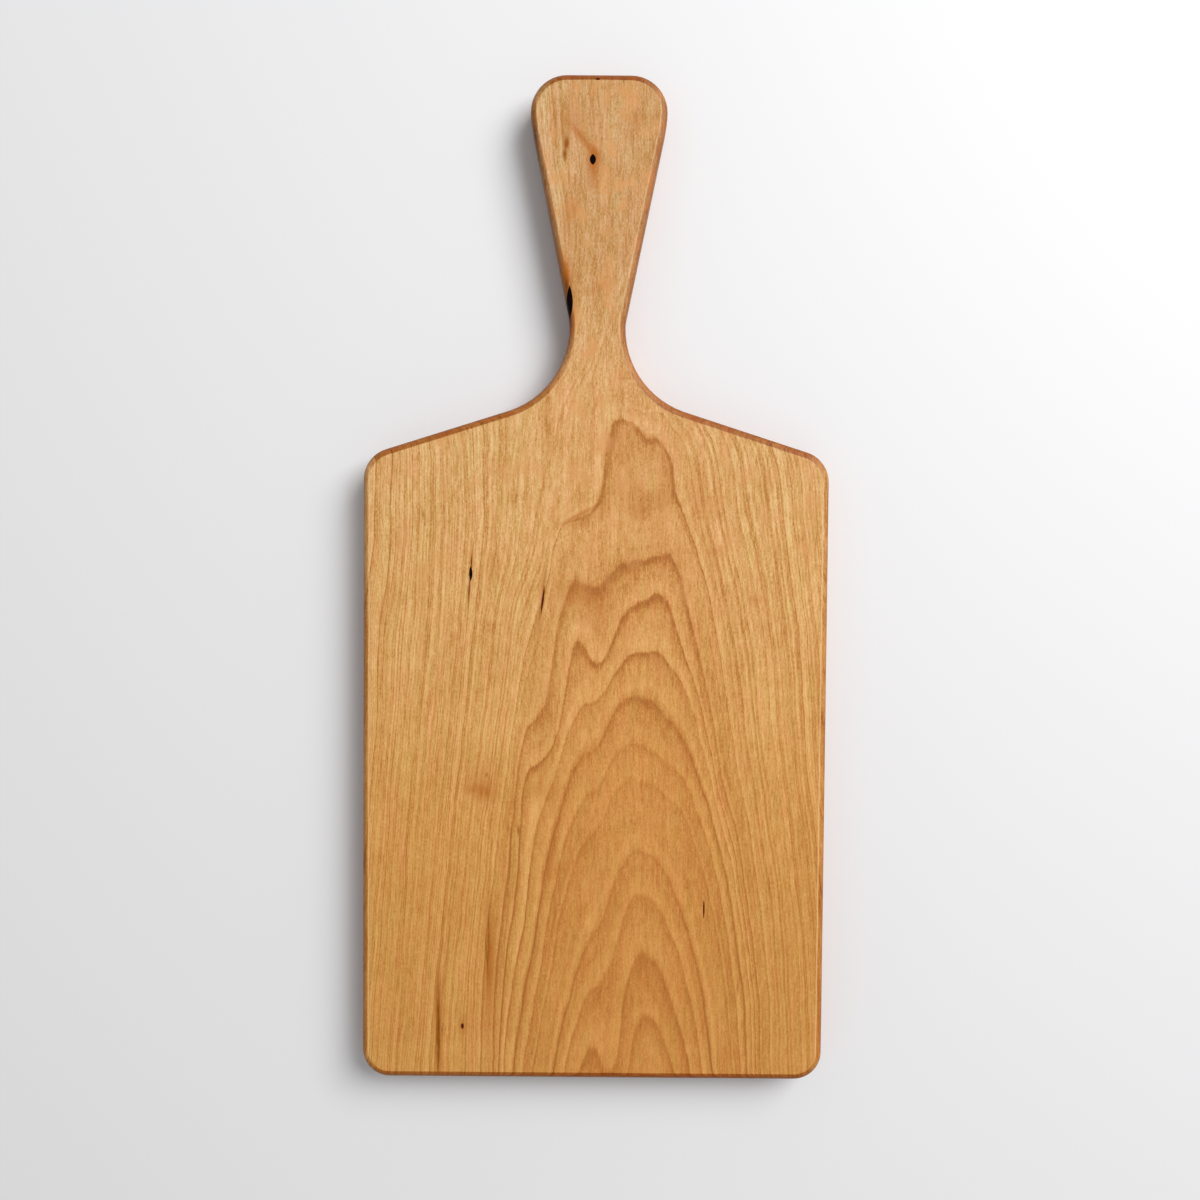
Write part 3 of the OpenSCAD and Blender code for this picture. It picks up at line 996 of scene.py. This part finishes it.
        # More painted shade on the edges that face the handle's end
        handle_end = weave.ramp(lengthways, *HANDLE_FACING)
        end = weave.mul(end, weave.between(handle_end, low=0.75, high=0.92))
        # Painted shade on the side edges, growing towards the handle
        side_shade_share = weave.between(weave.ramp(self.along, *SIDE_SHADE_RUN), low=0.4, high=0.72)
        oil_and_shade_share = weave.most(end, weave.mul(side, side_shade_share))
        base = weave.tint(base, settings.edge_oil_and_shade, oil_and_shade_share)
        # Painted shade, darkest at the outer rim of the edges
        rim_shade_share = weave.mul(weave.ramp(slope, *RIM_SHADE_SLOPE), RIM_SHADE_SHARE)
        return weave.tint(base, settings.painted_rim_shade, rim_shade_share)

    def marked(self, base):
        """Knots' halos, gum streaks and small marks."""
        weave = self.weave
        mark = mark_group()
        crumble = weave.plus(1.0, self.grain["Thread"], CRUMBLE)
        for tint, rows in MARKS.items():
            share = marks_share(weave, mark, self.position, rows, crumble)
            base = weave.mix(share, base, getattr(self.settings, tint))
        return base

    def surface(self, shader):
        """Satin oil over the fibres, which stand up a little."""
        weave, thread = self.weave, self.grain["Thread"]
        gloss = weave.plus(self.settings.roughness, thread, gain=0.25)
        weave.feed(shader.inputs["Roughness"], gloss)
        shader.inputs["Specular IOR Level"].default_value = self.settings.shine
        bump = weave.node("ShaderNodeBump")
        bump.inputs["Strength"].default_value = BUMP_STRENGTH
        bump.inputs["Distance"].default_value = BUMP_HEIGHT
        weave.feed(bump.inputs["Height"], weave.add(thread, self.grain["Speck"]))
        weave.feed(shader.inputs["Normal"], bump.outputs[0])


def cherry_material(settings):
    made, weave, shader = new_material("oiled_cherry")
    cherry = Cherry(weave, settings)
    base = cherry.on_scale(cherry.lightness())
    for look in (cherry.tinted, cherry.clouded, cherry.oiled_and_shaded_edges, cherry.marked):
        base = look(base)
    weave.feed(shader.inputs["Base Color"], base)
    cherry.surface(shader)
    return made


# Fills and gum

# Their clouds: waves in a metre each way, detail, roughness; how much darker and lighter
# than the tint they go, and how much they add to the roughness
FILL_CLOUDS = ((900.0, 500.0, 900.0), 2.0, 0.5)
DARKER, LIGHTER = 0.7, 1.5
CLOUD_ROUGHNESS = 0.08


def glossy_material(name, tint, roughness, shine):
    made, weave, shader = new_material(name)
    place = weave.node("ShaderNodeTexCoord").outputs["Object"]
    cloud = weave.noise(place, *FILL_CLOUDS)
    dark = [part * DARKER for part in tint]
    light = [min(1.0, part * LIGHTER) for part in tint]
    weave.feed(shader.inputs["Base Color"], weave.mix(cloud, dark, light))
    weave.feed(shader.inputs["Roughness"], weave.plus(roughness, cloud, CLOUD_ROUGHNESS))
    shader.inputs["Specular IOR Level"].default_value = shine
    return made


# Stage

# Strength of the sky that the camera sees, and where the floor turns as pale, in metres
PALE_SKY = 0.8
FAR_FLOOR = (0.5, 1.8)
FLOOR_SIZE = 8.0
FLOOR_ROUGHNESS = 0.6
# Place and size of the large soft lamp, in metres
KEY_PLACE = (1.35, 1.15, 1.8)
KEY_SIZE = 1.6
# The camera's film and lens, in millimetres, and how near and far it sees, in metres
FILM, LENS = 36.0, 36.0
NEAREST, FARTHEST = 0.01, 20.0


def plain_floor(stage):
    """Wide floor in one pale colour."""
    bpy.ops.mesh.primitive_plane_add(size=FLOOR_SIZE, location=(0, 0, 0))
    floor = bpy.context.object
    floor.name = "plain_floor"
    made, weave, shader = new_material("plain_floor")
    shader.inputs["Base Color"].default_value = (*stage.floor_colour, 1.0)
    shader.inputs["Roughness"].default_value = FLOOR_ROUGHNESS
    pale_distance(weave, shader, stage.floor_colour)
    floor.data.materials.append(made)


def pale_distance(weave, shader, pale):
    """Far from the board the camera sees the floor as pale as it is near it."""
    place = weave.node("ShaderNodeTexCoord").outputs["Object"]
    reach = weave.node("ShaderNodeVectorMath", operation="LENGTH")
    weave.feed(reach.inputs[0], place)
    far = weave.ramp(reach.outputs["Value"], *FAR_FLOOR)
    seen = weave.node("ShaderNodeLightPath").outputs["Is Camera Ray"]
    glow = weave.node("ShaderNodeEmission")
    glow.inputs["Color"].default_value = (*pale, 1.0)
    both = weave.node("ShaderNodeMixShader")
    weave.feed(both.inputs[0], weave.mul(seen, far))
    weave.feed(both.inputs[1], shader.outputs[0])
    weave.feed(both.inputs[2], glow.outputs[0])
    output = weave.tree.nodes["Material Output"]
    weave.feed(output.inputs["Surface"], both.outputs[0])


def soft_lamp(scene, name, place, size, power):
    """Square lamp that shines at the middle of the board."""
    data = bpy.data.lights.new(name, "AREA")
    data.shape = "SQUARE"
    data.size = size
    data.energy = power
    lamp = bpy.data.objects.new(name, data)
    scene.collection.objects.link(lamp)
    lamp.location = place
    lamp.rotation_mode = "QUATERNION"
    lamp.rotation_quaternion = Vector(place).to_track_quat("Z", "Y")


def soft_sky(scene, strength):
    """Even white light from all round, which the camera sees as strong as PALE_SKY."""
    world = bpy.data.worlds.new("soft_sky")
    world.use_nodes = True
    background = world.node_tree.nodes["Background"]
    background.inputs["Color"].default_value = (*WHITE, 1.0)
    sky = Weave(world.node_tree)
    seen = sky.node("ShaderNodeLightPath").outputs["Is Camera Ray"]
    sky.feed(background.inputs["Strength"], sky.between(seen, strength, PALE_SKY))
    scene.world = world


# Operators


class BOARD_OT_camera(Operator):
    """Sets the camera at the photograph's viewing angle"""

    bl_idname = "board.camera"
    bl_label = "Camera"

    def execute(self, context):
        stage = context.scene.board_stage
        data = bpy.data.cameras.new("board_camera")
        data.sensor_width = FILM
        data.lens = LENS
        data.clip_start, data.clip_end = NEAREST, FARTHEST
        camera = bpy.data.objects.new("board_camera", data)
        context.scene.collection.objects.link(camera)
        tilt, roll = stage.camera_tilt, stage.camera_roll
        back = Vector((0.0, math.sin(tilt), math.cos(tilt)))
        up = Vector((-math.sin(roll), math.cos(roll), 0.0))
        side = up.cross(back).normalized()
        up = back.cross(side)
        aim = Vector((stage.aim_right, stage.aim_up, PLANK_HIGH.z - EDGE_ROUND))
        turn = Matrix((side, up, back)).transposed()
        place = aim + back * stage.camera_distance
        camera.matrix_world = Matrix.Translation(place) @ turn.to_4x4()
        context.scene.camera = camera
        return {"FINISHED"}


class BOARD_OT_stage(Operator):
    """Lays the plain floor and hangs the soft lamp and the sky"""

    bl_idname = "board.stage"
    bl_label = "Stage"

    def execute(self, context):
        scene = context.scene
        stage = scene.board_stage
        plain_floor(stage)
        soft_lamp(scene, "key_lamp", KEY_PLACE, KEY_SIZE, stage.key_power)
        soft_sky(scene, stage.sky_strength)
        scene.view_settings.view_transform = "Standard"
        return {"FINISHED"}


class BOARD_OT_plank(Operator):
    """Gives the plank its oiled cherry"""

    bl_idname = "board.plank"
    bl_label = "Cherry plank"

    def execute(self, context):
        dress(PLANK, cherry_material(context.scene.board_cherry))
        return {"FINISHED"}


class BOARD_OT_fills(Operator):
    """Gives the fills of the knot, the check and the neck edge their glossy black"""

    bl_idname = "board.fills"
    bl_label = "Black fills"

    def execute(self, context):
        fill = context.scene.board_fill
        material = glossy_material(
            "black_fill", fill.fill_colour, fill.fill_roughness, fill.shine
        )
        for node_name in BLACK_FILLS:
            dress(node_name, material)
        return {"FINISHED"}


class BOARD_OT_gum(Operator):
    """Gives the gum veins and pin knots their dark red"""

    bl_idname = "board.gum"
    bl_label = "Gum and pin knots"

    def execute(self, context):
        fill = context.scene.board_fill
        material = glossy_material(
            "dark_gum", fill.gum_colour, fill.gum_roughness, fill.shine
        )
        for node_name in GUM_PIECES:
            dress(node_name, material)
        return {"FINISHED"}


STEPS = (
    BOARD_OT_camera,
    BOARD_OT_stage,
    BOARD_OT_plank,
    BOARD_OT_fills,
    BOARD_OT_gum,
)


class BOARD_PT_panel(Panel):
    """Lists the board's steps in the sidebar"""

    bl_idname = "BOARD_PT_panel"
    bl_label = "Serving board"
    bl_space_type = "VIEW_3D"
    bl_region_type = "UI"
    bl_category = "Board"

    def draw(self, context):
        for step in STEPS:
            self.layout.operator(step.bl_idname)
        for group in SETTINGS:
            settings = getattr(context.scene, group)
            for name in type(settings).__annotations__:
                self.layout.prop(settings, name)


CLASSES = (*SETTINGS.values(), *STEPS, BOARD_PT_panel)


def register():
    for item in CLASSES:
        bpy.utils.register_class(item)
    for name, group in SETTINGS.items():
        setattr(bpy.types.Scene, name, PointerProperty(type=group))


def unregister():
    for name in SETTINGS:
        delattr(bpy.types.Scene, name)
    for item in reversed(CLASSES):
        bpy.utils.unregister_class(item)


def main():
    register()
    bpy.ops.board.camera()
    bpy.ops.board.stage()
    bpy.ops.board.plank()
    bpy.ops.board.fills()
    bpy.ops.board.gum()


if __name__ == "__main__":
    main()
